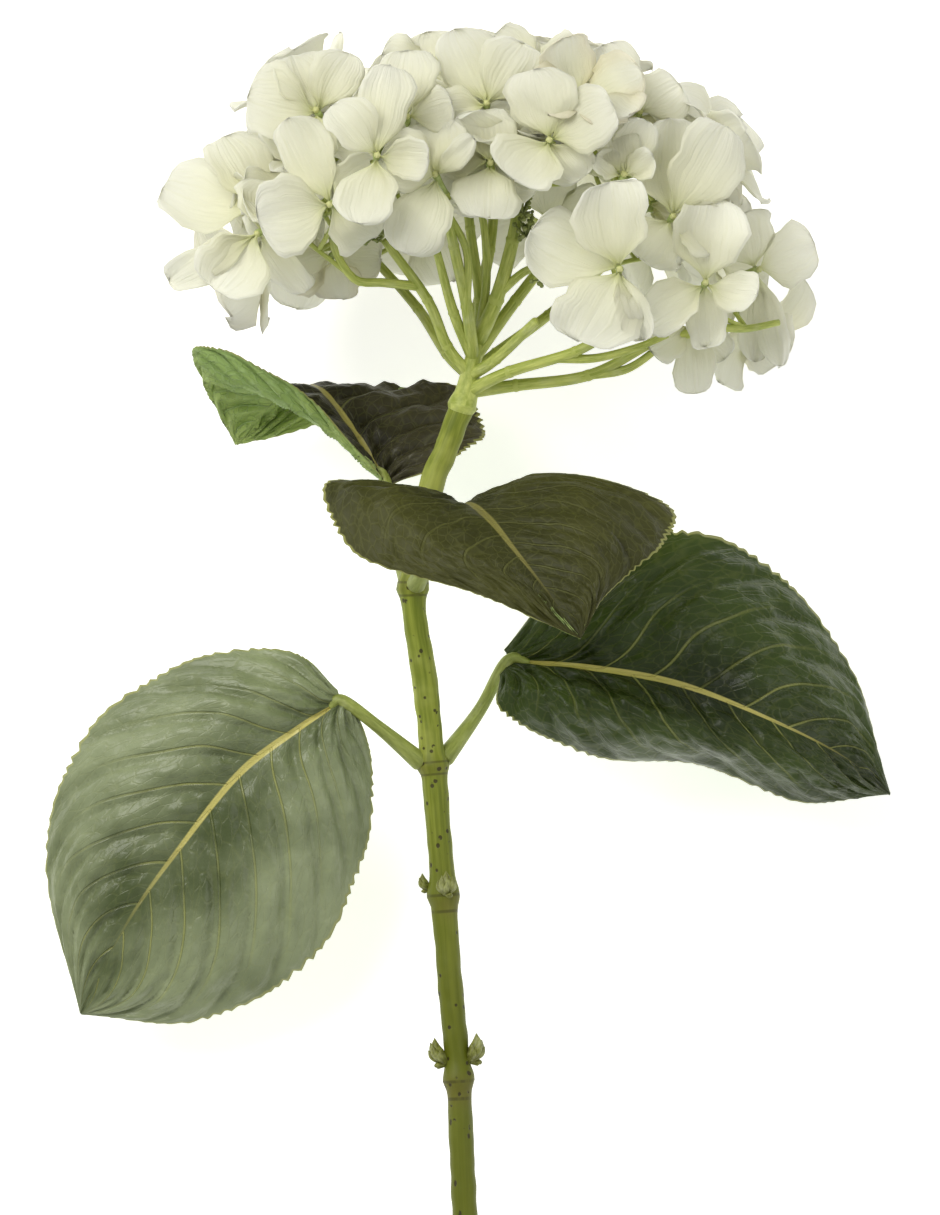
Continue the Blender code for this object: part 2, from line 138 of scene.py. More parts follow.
# Shader maths: a Signal is one output socket, and sums with it add Math nodes.
class Signal:
    def __init__(self, look, socket):
        self.look = look
        self.socket = socket

    def math(self, operation, first, second=None):
        inputs = {0: first} if second is None else {0: first, 1: second}
        return self.look.out(self.look.make("ShaderNodeMath", {"operation": operation}, inputs))

    def __add__(self, other):
        return self.math("ADD", self, other)

    def __radd__(self, other):
        return self.math("ADD", other, self)

    def __sub__(self, other):
        return self.math("SUBTRACT", self, other)

    def __rsub__(self, other):
        return self.math("SUBTRACT", other, self)

    def __mul__(self, other):
        return self.math("MULTIPLY", self, other)

    def __rmul__(self, other):
        return self.math("MULTIPLY", other, self)

    def __abs__(self):
        return self.math("ABSOLUTE", self)

    def power(self, other):
        return self.math("POWER", self, other)

    def most(self, other):
        return self.math("MAXIMUM", self, other)

    def part(self):
        return self.math("FRACT", self)

    def between(self, low, high):
        # 0 at low, 1 at high, smooth between; a range from high to low turns it round
        flip = low > high
        inputs = {"Value": self, "From Min": min(low, high), "From Max": max(low, high)}
        node = self.look.make("ShaderNodeMapRange", {"interpolation_type": "SMOOTHSTEP"}, inputs)
        result = self.look.out(node, "Result")
        return 1 - result if flip else result


def tone(colour):
    # a colour given as it looks on a screen, each part from 0 to 255
    return [((c / 255 + 0.055) / 1.055) ** 2.4 if c > 10 else c / 3295 for c in colour] + [1]


class Look:
    def __init__(self, name):
        self.material = bpy.data.materials.new(name)
        self.material.use_nodes = True
        self.nodes = self.material.node_tree.nodes
        self.links = self.material.node_tree.links
        self.shader = self.nodes["Principled BSDF"]

    def feed(self, socket, value):
        if isinstance(value, Signal):
            self.links.new(value.socket, socket)
        else:
            socket.default_value = value

    def make(self, kind, settings, inputs):
        node = self.nodes.new(kind)
        for key, value in settings.items():
            setattr(node, key, value)
        for key, value in inputs.items():
            self.feed(node.inputs[key], value)
        return node

    def out(self, node, name=0):
        return Signal(self, node.outputs[name])

    def uv(self):
        spot = self.out(self.make("ShaderNodeUVMap", {"uv_map": "UVMap"}, {}))
        split = self.make("ShaderNodeSeparateXYZ", {}, {"Vector": spot})
        return self.out(split, "X"), self.out(split, "Y")

    def place(self, stretch=(1, 1, 1)):
        spot = self.out(self.make("ShaderNodeTexCoord", {}, {}), "Object")
        return self.out(self.make("ShaderNodeVectorMath", {"operation": "MULTIPLY"}, {0: spot, 1: stretch}))

    def point(self, x, y, z=0.0):
        return self.out(self.make("ShaderNodeCombineXYZ", {}, {"X": x, "Y": y, "Z": z}))

    def attribute(self, name):
        return self.out(self.make("ShaderNodeAttribute", {"attribute_name": name}, {}), "Fac")

    def noise(self, vector, scale, detail=3, rough=0.55):
        inputs = {"Vector": vector, "Scale": scale, "Detail": detail, "Roughness": rough}
        return self.out(self.make("ShaderNodeTexNoise", {}, inputs))

    def cells(self, vector, scale, feature="F1"):
        inputs = {"Vector": vector, "Scale": scale}
        return self.out(self.make("ShaderNodeTexVoronoi", {"feature": feature}, inputs), "Distance")

    def mix(self, factor, first, second):
        colours = [c if isinstance(c, Signal) else tone(c) for c in (first, second)]
        node = self.make("ShaderNodeMix", {"data_type": "RGBA"}, {0: factor, 6: colours[0], 7: colours[1]})
        return self.out(node, 2)

    def finish(self, colour, rough, height, depth, strength=0.6):
        inputs = {"Height": height, "Distance": depth, "Strength": strength}
        bump = self.out(self.make("ShaderNodeBump", {}, inputs))
        for name, value in (("Base Color", colour), ("Roughness", rough), ("Normal", bump)):
            self.feed(self.shader.inputs[name], value)
        return self.material

    def fixed(self, **values):
        # numbers that are the same all over, set on the shader's own sockets
        for name, value in values.items():
            self.shader.inputs[name.replace("_", " ")].default_value = value


# Mesh work: every shape starts as a grid or a ball in one bmesh.
def addSheet(work, columns, rows, place, closed=False, material=0):
    # a grid whose UV runs 0 to 1 across and along, each point of it put where place(u, v) says
    uv = work.loops.layers.uv.get("UVMap") or work.loops.layers.uv.new("UVMap")
    made = bmesh.ops.create_grid(work, x_segments=columns, y_segments=rows, size=0.5)["verts"]
    faces = {face for vert in made for face in vert.link_faces}
    for face in faces:
        face.material_index = material
        for loop in face.loops:
            loop[uv].uv = (loop.vert.co.x + 0.5, loop.vert.co.y + 0.5)
    for vert in made:
        vert.co = place(vert.co.x + 0.5, vert.co.y + 0.5)
    if closed:
        bmesh.ops.remove_doubles(work, verts=made, dist=0.002)
    return faces


def addTube(work, line, radii, rings, sides, material=0, rounding=0.04):
    # a closed tube on a smooth line; radii are read as a smooth curve, and both ends are rounded off
    curve = [(r, 0, 0) for r in radii]

    def place(u, v):
        t = min(max((v - rounding) / (1 - 2 * rounding), 0), 1)
        end = min(v, 1 - v) / rounding
        full = smoothLine(curve, t).x * (sqrt(max(1 - (1 - end) ** 2, 0)) if end < 1 else 1)
        along = lineDirection(line, t)
        return ringPoint(smoothLine(line, t), along, full, 2 * pi * u, Vector((0.3, 0.2, 1)))

    return addSheet(work, sides, rings, place, True, material)


def addBall(work, centre, radius, detail, material=0, stretch=None):
    matrix = Matrix.Translation(centre) @ (stretch or Matrix())
    made = bmesh.ops.create_icosphere(work, subdivisions=detail, radius=radius, matrix=matrix)["verts"]
    for face in {face for vert in made for face in vert.link_faces}:
        face.material_index = material


def finishPiece(work, name, materials, nodes=(), solid=True):
    # turns a bmesh in millimetres into one smooth object in place, riding on the root body
    if solid:
        bmesh.ops.recalc_face_normals(work, faces=work.faces)
    mesh = bpy.data.meshes.new(name)
    work.to_mesh(mesh)
    work.free()
    mesh.transform(laid)
    for vert in mesh.vertices:
        if vert.co.z < plant["soft"]:
            # what touches the surface is pressed up to it
            vert.co.z = (vert.co.z + sqrt(vert.co.z ** 2 + mm * mm)) / 2
    mesh.shade_smooth()
    for material in materials:
        mesh.materials.append(material)
    piece = bpy.data.objects.new(name, mesh)
    bpy.context.scene.collection.objects.link(piece)
    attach(piece, "root")
    if nodes:
        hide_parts(*nodes)
    return piece


# The camera, the lights and the floor.
view = {"middle": (4, -65.7, 0), "away": 4.118, "lens": 400}
lights = {
    "world": 0.42, "floor": 0.55,
    "key": {"place": (-1.0, 0.9, 1.9), "size": 1.7, "power": 36, "colour": (1, 0.985, 0.94)},
    "fill": {"place": (1.3, -0.7, 1.5), "size": 1.6, "power": 7, "colour": (1, 0.985, 0.95)},
}


def placeLooking(data, name, place, facing):
    holder = bpy.data.objects.new(name, data)
    holder.location = place
    holder.rotation_mode = "QUATERNION"
    holder.rotation_quaternion = facing.to_track_quat("-Z", "Y")
    bpy.context.scene.collection.objects.link(holder)
    return holder


def makeView():
    camera = bpy.data.cameras.new("camera")
    camera.lens = view["lens"]
    camera.clip_end = 20
    lean = radians(plant["lean"])
    back = Vector((0, -sin(lean), cos(lean)))
    place = laid @ Vector(view["middle"]) + back * view["away"]
    bpy.context.scene.camera = placeLooking(camera, "camera", place, -back)


def makeLights():
    bpy.context.scene.view_settings.view_transform = "Standard"
    world = bpy.data.worlds.new("studio")
    world.use_nodes = True
    background = world.node_tree.nodes["Background"]
    background.inputs["Color"].default_value = (1, 1, 1, 1)
    background.inputs["Strength"].default_value = lights["world"]
    bpy.context.scene.world = world
    for name in ("key", "fill"):
        values = lights[name]
        lamp = bpy.data.lights.new(name, "AREA")
        lamp.shape = "DISK"
        lamp.size = values["size"]
        lamp.energy = values["power"]
        lamp.color = values["colour"]
        placeLooking(lamp, name, values["place"], -Vector(values["place"]))


def makeFloor():
    look = Look("floorPaper")
    grain = look.noise(look.place(), 300)
    material = look.finish(look.mix(grain, (250, 250, 249), (254, 254, 254)), 0.9, grain, 0.0001, 0.1)
    look.shader.inputs["Emission Color"].default_value = (1, 1, 1, 1)
    look.fixed(Emission_Strength=lights["floor"])
    work = bmesh.new()
    bmesh.ops.create_grid(work, x_segments=2, y_segments=2, size=plant["backdrop"])
    mesh = bpy.data.meshes.new("floor")
    work.to_mesh(mesh)
    work.free()
    mesh.materials.append(material)
    floor = bpy.data.objects.new("floor", mesh)
    bpy.context.scene.collection.objects.link(floor)


makeView()
makeLights()
makeFloor()
print("stage: camera, lights and floor")


# The stem.
def stemMaterial():
    look = Look("stemSkin")
    look.fixed(Specular_IOR_Level=0.3)
    across, along = look.uv()
    streak = look.noise(look.point(across * stem["streaks"][0], along * stem["streaks"][1]), 1, 4, 0.6)
    blotch = look.noise(look.place(), 60)
    colour = look.mix(streak.between(0.3, 0.75), stem["dark"], stem["light"])
    colour = look.mix(blotch.between(0.45, 0.75) * 0.5, colour, (180, 184, 96))
    colour = look.mix(along.between(0.66, 0.3) * 0.85, colour, stem["low"])
    for joint in stem["joints"]:
        near = abs(along - (1 - stemPlace(joint)))
        colour = look.mix(near.between(0.018, 0.0) * blotch.between(0.3, 0.6) * 0.5, colour, stem["joint"])
        scar = abs(near - 0.006).between(0.0016, 0.0006) * streak.between(0.3, 0.5)
        colour = look.mix(scar * 0.5, colour, stem["pore"])
    # small dark pores, longer along the stem than across it, from below the uppermost leaves
    spots = look.cells(look.point(across * stem["poreGrid"][0], along * stem["poreGrid"][1]), 1)
    pore = spots.between(0.24, 0.16) * look.noise(look.place(), 260, 1).between(0.44, 0.5)
    pore = pore * along.between(0.82, 0.74)
    colour = look.mix(pore * 0.85, colour, stem["pore"])
    return look.finish(colour, 0.42 + 0.2 * streak, streak * 0.3 - pore * 0.8, 0.0004, 0.5)


def pithMaterial():
    look = Look("stemPith")
    fibre = look.cells(look.place(), 2600)
    colour = look.mix(fibre.between(0.2, 0.6), stem["pith"], stem["pithRing"])
    return look.finish(colour, 0.7, fibre, 0.0002)


def makeStem():
    slant = radians(stem["cutSlant"])
    ends = stem["cutShare"]

    def place(u, v):
        # v runs from the cut end up; below v = ends lies the cut face
        t = 1 - max(v - ends, 0) / (1 - ends)
        centre = smoothLine(stem["line"], t)
        near = min(abs(centre.y - joint + stem["rimDrop"]) for joint in stem["joints"])
        radius = stemRadius(centre.y) + stem["rim"] * bell(near / stem["rimBreadth"])
        p = ringPoint(centre, lineDirection(stem["line"], t), radius, 2 * pi * u + pi)
        p = centre + (p - centre) * (1 + stem["lumps"] * (noise(p * 0.2) + noise(p * 0.05)) / 2)
        share = between(t, 0.975, 1)
        if v < ends:
            p = centre + (p - centre) * (v / ends)
        return centre + Matrix.Rotation(slant * share, 3, "X") @ (p - centre)

    work = bmesh.new()
    addSheet(work, stem["sides"], stem["rings"], place, True)
    top = [edge for edge in work.edges if edge.is_boundary]
    bmesh.ops.holes_fill(work, edges=top)
    nearCut = stem["line"][-1][1] + stem["radius"] + 0.2
    for face in work.faces:
        if face.calc_center_median().y < nearCut and abs(face.normal.y) > 0.8:
            face.material_index = 1
    finishPiece(work, "stemSkin", [stemMaterial(), pithMaterial()], ["stem"])


makeStem()
print("stage: stem")


# The leaves. Each has the place where its stalk leaves the stem, the stalk's line, its apex, and five lines
# from the blade's base towards the apex: left edge, left middle, midrib, right middle and right edge.
leaves = {
    "leaf_left": {
        "foot": (-113, 165),
        "petiole": ((-17, -110, 4), (-24, -102, 7), (-35, -94, 9)),
        "apex": (-115, -190, -3),
        "ribs": (
            ((-36, -91, 9), (-51, -79, 6), (-84, -82, 3), (-113, -104, 0), (-126, -140, -3)),
            ((-35.5, -92.5, 9), (-50, -91, 13), (-75, -98, 15), (-98, -120, 12), (-114, -149, 6)),
            ((-35, -94, 9), (-49, -103, 12), (-66, -116, 13), (-83, -137, 11), (-100, -161, 6)),
            ((-33.5, -93.7, 9), (-38, -109, 12), (-46, -131, 13), (-63, -157, 10), (-87, -178, 5)),
            ((-32, -93.5, 8), (-26, -112, 4), (-28, -143, 1), (-45, -174, -2), (-77, -192, -4)),
        ),
        "light": (144, 154, 116), "dark": (72, 84, 44), "gloss": 0.5, "shine": 0.3, "quilt": 2.1,
        "ribShow": 0.9, "veinShow": 0.8, "seed": 3, "flip": True,
    },
    "leaf_right": {
        "foot": (-112, -18),
        "petiole": ((1.5, -108, -5), (7, -97, -8), (15.5, -82, -4)),
        "apex": (133, -123, -20),
        "ribs": (
            ((14, -79, -6), (31, -60, -8), (62, -42, -12), (97, -53, -14), (121, -85, -18)),
            ((15, -80.5, -5), (36, -72, 2), (64, -65, 6), (93, -76, 4), (117, -98, -6)),
            ((15.5, -82, -4), (41, -84, 3), (68, -89, 6), (94, -99, 4), (118, -111, -6)),
            ((14.5, -84, -3), (31, -91, 7), (56, -101, 13), (85, -109, 10), (112, -117, -1)),
            ((13, -86, -3), (14, -98, -1), (37, -110, -5), (71, -114, -9), (105, -125, -12)),
        ),
        "light": (62, 79, 26), "dark": (30, 42, 8), "gloss": 0.36, "shine": 0.24, "quilt": 1.9,
        "ribShow": 0.95, "veinShow": 0.7, "seed": 5,
    },
    "leaf_front": {
        "foot": (-59, 78),
        "petiole": ((-11.5, -57, 9), (-8, -50, 16), (-4, -42, 22)),
        "apex": (37, -75, 88),
        "ribs": (
            ((-1, -40, 21), (31, -24.5, 30), (64, -35.5, 45), (62, -47, 62), (46, -61, 76)),
            ((-2.5, -41, 22), (19, -27, 35), (36, -30, 53), (39, -42, 69), (41, -57, 80)),
            ((-4, -42, 22), (2, -34, 38), (9, -38, 56), (18, -49, 72), (28, -62, 82)),
            ((-5.5, -41.5, 22), (-5, -31, 36), (-19, -32, 54), (-8, -47, 70), (19, -60, 80)),
            ((-7, -41, 21), (-17, -30.5, 30), (-40, -29, 44), (-30, -50, 62), (5, -61.5, 76)),
        ),
        # the front leaf's colours are its own olive, darkened further to paint the shade on it where it
        # hangs down
        "light": (67, 68, 26), "dark": (42, 44, 14), "gloss": 0.24, "shine": 0.46, "quilt": 1.3,
        "ribShow": 0.3, "veinShow": 0.16, "seed": 7,
    },
    "leaf_back": {
        "foot": (-59, 252),
        "petiole": ((-16.5, -56, -9), (-19.5, -42, -14), (-22, -27, -18)),
        "apex": (-68, -15.5, -44),
        "ribs": (
            ((-22.5, -26, -16), (-37, -10, -10), (-52, 4, -8), (-72, 13, -14), (-81, 12, -24)),
            ((-22.5, -27, -17), (-37, -13, -14), (-53, -3, -14), (-66, 3, -20), (-74, 2, -31)),
            ((-22, -27, -18), (-31, -12, -27), (-42, 2, -37), (-50, 2, -44), (-60, -5, -46)),
            ((-21, -27.5, -18), (-16, -15, -26), (-17, -2, -38), (-30, 2, -49), (-53, -6, -50)),
            ((-20, -28, -18), (-1, -20, -22), (9, -11, -32), (-4, 3, -46), (-48, -11, -50)),
        ),
        # the back leaf's colours are its own dark upper face, darkened further to paint the deep shade it
        # lies in
        "light": (72, 68, 50), "dark": (26, 24, 8), "gloss": 0.34, "shine": 0.32, "quilt": 2.5,
        "ribShow": 0.55, "veinShow": 0.3, "seed": 9,
    },
}
leafLook = {
    "rows": 210, "columns": 84, "thick": 0.45, "crease": 1.15, "wave": 0.9, "teeth": 42, "notch": 0.032,
    # the side veins: how many, how far forward they sweep, how they bend and crowd, and how the sides differ
    "veins": 8, "sweep": 0.4, "bend": 1.12, "crowd": 0.15, "stagger": 0.37,
    # the groove along the midrib
    "groove": 0.7, "grooveBreadth": 0.04,
    "rib": (204, 194, 108), "vein": (150, 154, 84), "edge": (168, 170, 96),
    "under": (188, 204, 122), "underDark": (134, 160, 84),
    "underVein": (166, 192, 134), "underRib": (180, 196, 134),
    "stalk": (158, 168, 84), "stalkDark": (118, 128, 52), "stalkRadii": (3.0, 2.0, 1.9, 0.9),
}
for shape in leaves.values():
    shape["ribs"] = [(*rib, shape["apex"]) for rib in shape["ribs"]]


def bladePoint(shape, u, v):
    return smoothLine([smoothLine(rib, 0.004 + 0.994 * v) for rib in shape["ribs"]], u)


def veinPhase(u, v):
    # counts the side veins that lie before a point of the blade
    side = 2 * u - 1
    forward = v - leafLook["sweep"] * abs(side) ** leafLook["bend"]
    shift = leafLook["stagger"] if side > 0 else 0
    return forward * (1 + leafLook["crowd"] * v) * leafLook["veins"] + shift


def bladeHeight(shape, u, v):
    # the blade swells between its side veins, and is creased across them
    side = 2 * u - 1
    out = abs(side)
    phase = veinPhase(u, v)
    fade = between(out, 0.0, 0.16) * between(out, 1.0, 0.86) * between(v, 0, 0.06) * between(v, 1, 0.9)
    seed = shape["seed"]
    creases = noise(Vector((side * 7, phase * 2.6, seed)))
    creases += 0.35 * noise(Vector((side * 17, phase * 6, seed)))
    height = shape["quilt"] * (abs(sin(pi * phase)) ** 0.7 - 0.6) + leafLook["crease"] * creases
    wave = leafLook["wave"] * sin(v * 19 + seed) * between(out, 0.45, 1.0) * sin(pi * v)
    groove = leafLook["groove"] * bell(out / leafLook["grooveBreadth"]) * (1 - 0.7 * v)
    return height * fade + wave - groove


def toothed(shape, u, v):
    # draws the edge in between its teeth
    seed = shape["seed"]
    place = (v * leafLook["teeth"] + 0.3 * sin(v * 23 + seed) + 0.2 * sin(v * 61 + seed)) % 1
    notch = (1 - place / 0.75) if place < 0.75 else (place - 0.75) / 0.25
    reach = between(v, 0.1, 0.2) * between(v, 1.0, 0.95) * between(abs(2 * u - 1), 0.9, 1.0)
    deep = leafLook["notch"] * (0.75 + 0.4 * sin(v * 37 + u + seed))
    return 0.5 + (u - 0.5) * (1 - deep * notch * reach)


def bladeMarks(look):
    # how far out from the midrib a place lies, then the midrib, the side veins and the fine net, from 0 to 1
    across, along = look.uv()
    side = across * 2 - 1
    out = abs(side)
    arch = look.noise(look.point(side * 1.3, along * 3), 1, 1) * 0.05
    forward = along + arch - out.power(leafLook["bend"]) * leafLook["sweep"]
    phase = forward * (along * leafLook["crowd"] + 1) * leafLook["veins"]
    phase = phase + side.between(-0.01, 0.01) * leafLook["stagger"]
    near = abs((phase + 0.5).part() - 0.5)
    base = (1 - along).power(4)
    rib = (out - 0.06 * base - 0.014 * (1 - along)).between(0.012, 0.002) * along.between(0.9, 0.55)
    vein = near.between(0.05, 0.015) * out.between(0.95, 0.15)
    net = look.cells(look.point(side * 14, phase * 4.2), 1, "DISTANCE_TO_EDGE").between(0.1, 0.0)
    return out, rib, vein, net


def bladeMaterial(name, shape):
    look = Look(name)
    look.fixed(Specular_IOR_Level=shape["gloss"])
    out, rib, vein, net = bladeMarks(look)
    patch = look.noise(look.place(), 35, 4)
    grain = look.noise(look.place(), 900)
    # painted shade: the blade is darkened near the midrib, where its groove lies in shade
    midribShade = out.between(0.6, 0.05) * 0.55
    colour = look.mix(patch.between(0.2, 0.7) * 0.7 + 0.3 - midribShade, shape["dark"], shape["light"])
    colour = look.mix(net * 0.08, colour, leafLook["vein"])
    colour = look.mix(vein * patch.between(0.3, 0.6) * shape["veinShow"], colour, leafLook["vein"])
    colour = look.mix(rib * shape["ribShow"], colour, leafLook["rib"])
    colour = look.mix(out.between(0.975, 0.99) * 0.7, colour, leafLook["edge"])
    crinkle = look.noise(look.place(), 120, 2, 0.45)
    height = crinkle + grain * 0.08 - net * 0.05 - vein * 0.45
    return look.finish(colour, shape["shine"] + 0.12 * patch, height, 0.0018, 0.7)


def bladeUnderMaterial():
    look = Look("leafUnder")
    _, rib, vein, net = bladeMarks(look)
    patch = look.noise(look.place(), 30, 4)
    colour = look.mix(patch.between(0.3, 0.7), leafLook["underDark"], leafLook["under"])
    colour = look.mix((net * 0.3).most(vein * 0.6), colour, leafLook["underVein"])
    colour = look.mix(rib * 0.9, colour, leafLook["underRib"])
    return look.finish(colour, 0.6, vein + net * 0.4 + rib, 0.0006, 0.8)


def stalkMaterial(name, light, dark):
    look = Look(name)
    across, along = look.uv()
    streak = look.noise(look.point(across * 7, along * 5), 1, 4, 0.6)
    blotch = look.noise(look.place(), 130)
    colour = look.mix(streak.between(0.3, 0.7), dark, light)
    colour = look.mix(blotch.between(0.5, 0.8) * 0.6, colour, (200, 206, 146))
    return look.finish(colour, 0.5, streak + blotch, 0.0003, 0.5)


def makeLeaf(name, under, stalk):
    shape = leaves[name]
    work = bmesh.new()
    spots = []

    def place(u, v):
        spots.append((u, v))
        return bladePoint(shape, toothed(shape, u, v), v)

    addSheet(work, leafLook["columns"], leafLook["rows"], place)
    if shape.get("flip"):
        bmesh.ops.reverse_faces(work, faces=work.faces)
    work.normal_update()
    normals = [vert.normal.copy() for vert in work.verts]
    for vert, normal, (u, v) in zip(work.verts, normals, spots):
        vert.co += normal * bladeHeight(shape, u, v)
    piece = finishPiece(work, name + "Blade", [bladeMaterial(name, shape), under], [name], False)
    solid = piece.modifiers.new("Solidify", "SOLIDIFY")
    solid.thickness = leafLook["thick"] * mm
    solid.material_offset = 1
    # the leaf's stalk, from the stem into the midrib
    y, turn = shape["foot"]
    out = Vector((cos(radians(turn)), 0, sin(radians(turn))))
    foot = smoothLine(stem["line"], stemPlace(y)) + out * (stemRadius(y) - 1.2)
    line = (foot, *shape["petiole"][1:], bladePoint(shape, 0.5, 0.05) - Vector((0, 0, 0.6)))
    work = bmesh.new()
    addTube(work, line, leafLook["stalkRadii"], 40, 14)
    finishPiece(work, name + "Stalk", [stalk])


leafUnder = bladeUnderMaterial()
leafStalk = stalkMaterial("leafStalk", leafLook["stalk"], leafLook["stalkDark"])
for leafName in leaves:
    makeLeaf(leafName, leafUnder, leafStalk)
print("stage: leaves")


# The flower stalks: each leaves a point of the crown, and has its points and its radii.
cyme = {
    "crown": (
        (0.4, -8, 0), (1.35, -4.9, 0), (1.9, -3.2, 0), (3, 0, 0), (4, 5, 0.5), (5, 10, 1), (6.5, 16, 1),
    ),
    "crownRadii": (2.6, 4.35, 4.3, 3.6, 3.1, 2.6, 2.0),
    "stalks": (
        (4, ((-3, 14, 4), (-9, 28, 10), (-22, 46, 17)), (1.7, 1.6, 1.3)),
        (5, ((-1, 24, 12), (-6, 42, 25)), (1.6, 1.2)),
        (5, ((3, 26, 14), (-1, 44, 26), (-3, 54, 34)), (1.8, 1.6, 1.2)),
        (6, ((7, 28, 3), (4, 50, 8), (2, 70, 10)), (1.7, 1.5, 1.2)),
        (6, ((12, 28, 10), (17, 46, 16), (20, 66, 22)), (2.3, 2, 1.4)),
        (4, ((12, 10, 10), (24, 21, 26)), (1.7, 1.5)),
        (3, ((16, 6, 10), (36, 12, 20), (50, 20, 30)), (1.8, 1.6, 1.4)),
        (3, ((18, 2, 3), (40, 5, 6), (58, 14, 11)), (1.9, 1.7, 1.4)),
        (4, ((-3, 12, -10), (-12, 26, -24), (-26, 42, -32)), (1.8, 1.6, 1.3)),
        (5, ((6, 24, -10), (10, 44, -22), (12, 62, -28)), (1.9, 1.7, 1.4)),
        (4, ((12, 12, -10), (28, 24, -24), (44, 38, -30)), (1.8, 1.6, 1.3)),
        (5, ((18, 28, -2), (34, 48, -4), (48, 62, -4)), (1.8, 1.6, 1.3)),
    ),
    "sideStalks": (
        ((-11.5, 32, 11.5), (-22, 33, 15), (-31, 34, 16), (-37, 43, 18), (-36, 48, 19), (-24, 49, 18)),
        ((5, 10, 1), (3, 24, 14), (3, 42, 24), (-4, 56, 34)),
        ((6.5, 16, 1), (9, 34, 10), (8, 52, 16), (4, 64, 22)),
        ((13, 30, 11), (20, 36, 15), (28, 40, 20), (36, 50, 24)),
        ((40, 5, 6), (52, 7, 8), (62, 14, 10), (67, 19, 14)),
        ((30, 10, 17), (42, 10, 19), (54, 13, 22), (64, 17, 24)),
        ((64, 16, 13), (78, 19, 20), (88, 19, 18), (98, 21, 14)),
    ),
    "sideRadii": (1.5, 1.25, 1.0),
    "clusters": (
        (20, 57, 24), (21, 50, 20), (26, 37, 21), (-26, 49, 20), (-22, 52, 24), (36, 50, 25), (3, 64, 23),
    ),
    "clusterBuds": 26, "clusterReach": 4.2, "clusterStalk": (0.35, 0.3, 0.3), "clusterBud": (0.6, 0.95),
    # the florets' own stalks: how thick they are, and how far behind a floret each turns and ends
    "twigRadius": 0.75, "twigTurn": 8.5, "twigEnd": 7,
    "light": (204, 212, 116), "dark": (150, 165, 64),
    "budLight": (150, 158, 84), "budDark": (92, 108, 44),
}

# The florets: centre, the way each faces, the turn of its sepals, their length and their cup.
florets = [
    ((-60, 57, 6), (-0.5, 0.4, -0.7), 12, 25, 12),
    ((-60, 48, 24), (-0.5, -0.3, 0.8), 40, 22, 10),
    ((-38, 56, 46), (-0.3, -0.1, 1), 12, 23, 14),
    ((-24, 70, 58), (0.1, 0.25, 1), 45, 20, 34),
    ((-6, 64, 50), (-0.35, 0.55, 0.55), 20, 19, 12),
    ((10, 68, 44), (0.1, 0.35, 0.9), 0, 18, 22),
    ((-42, 84, 32), (-0.45, 0.6, 0.6), 30, 22, 20),
    ((-15, 82, 42), (-0.05, 0.45, 0.9), 60, 21, 28),
    ((9, 86, 39), (0.05, 0.55, 0.8), 20, 22, 24),
    ((28, 75, 52), (-0.1, 0.1, 1), 10, 21, 22),
    ((49, 36, 58), (0, 0, 1), 8, 22, 10),
    ((75, 32, 38), (0.15, 0.4, 0.9), 15, 23, 14),
    ((50, 64, 46), (0.35, 0.75, 0.5), 20, 15, 50),
    ((65, 52, 40), (0.3, 0.35, 0.85), 45, 24, 20),
    ((91, 37, 8), (0.75, 0.2, 0.5), 30, 21, 14),
    ((55, 84, 22), (0.45, 0.65, 0.5), 25, 22, 20),
    ((24, 96, 18), (0, 0.85, 0.45), 15, 22, 20),
    ((-8, 98, 10), (-0.1, 0.95, 0.2), 35, 21, 20),
    ((79, 72, 8), (0.75, 0.6, 0.2), 15, 22, 16),
    ((71, 20, 16), (0.2, -0.65, 0.6), 40, 20, 12),
    ((-38, 42, -8), (-0.5, -0.5, -0.7), 15, 20, 10),
    ((-46, 90, 2), (-0.5, 0.85, 0.1), 10, 21, 18),
    ((38, 96, -8), (0.2, 0.95, -0.2), 0, 20, 18),
    ((38, 88, 36), (0.2, 0.6, 0.75), 40, 19, 26),
    ((90, 22, -12), (0.7, -0.4, -0.4), 10, 19, 12),
]
# The florets at the back sit in rows: height at the sides and at the back, reach, depth and how many.
backRows = ((36, 54, 72, 42, 6), (62, 80, 62, 50, 5), (82, 88, 42, 26, 4))
for row, (side, back, reach, depth, count) in enumerate(backRows):
    for k in range(count):
        turn = pi * (k + 0.5) / count
        y = side + (back - side) * sin(turn)
        centre = (9 + reach * cos(turn), y, -15 - depth * min(1.25 * sin(turn), 1))
        florets.append((centre, (0.8 * cos(turn), (y - 50) / 60, -sin(turn)), 23 * (row + 2 * k), 21, 14))

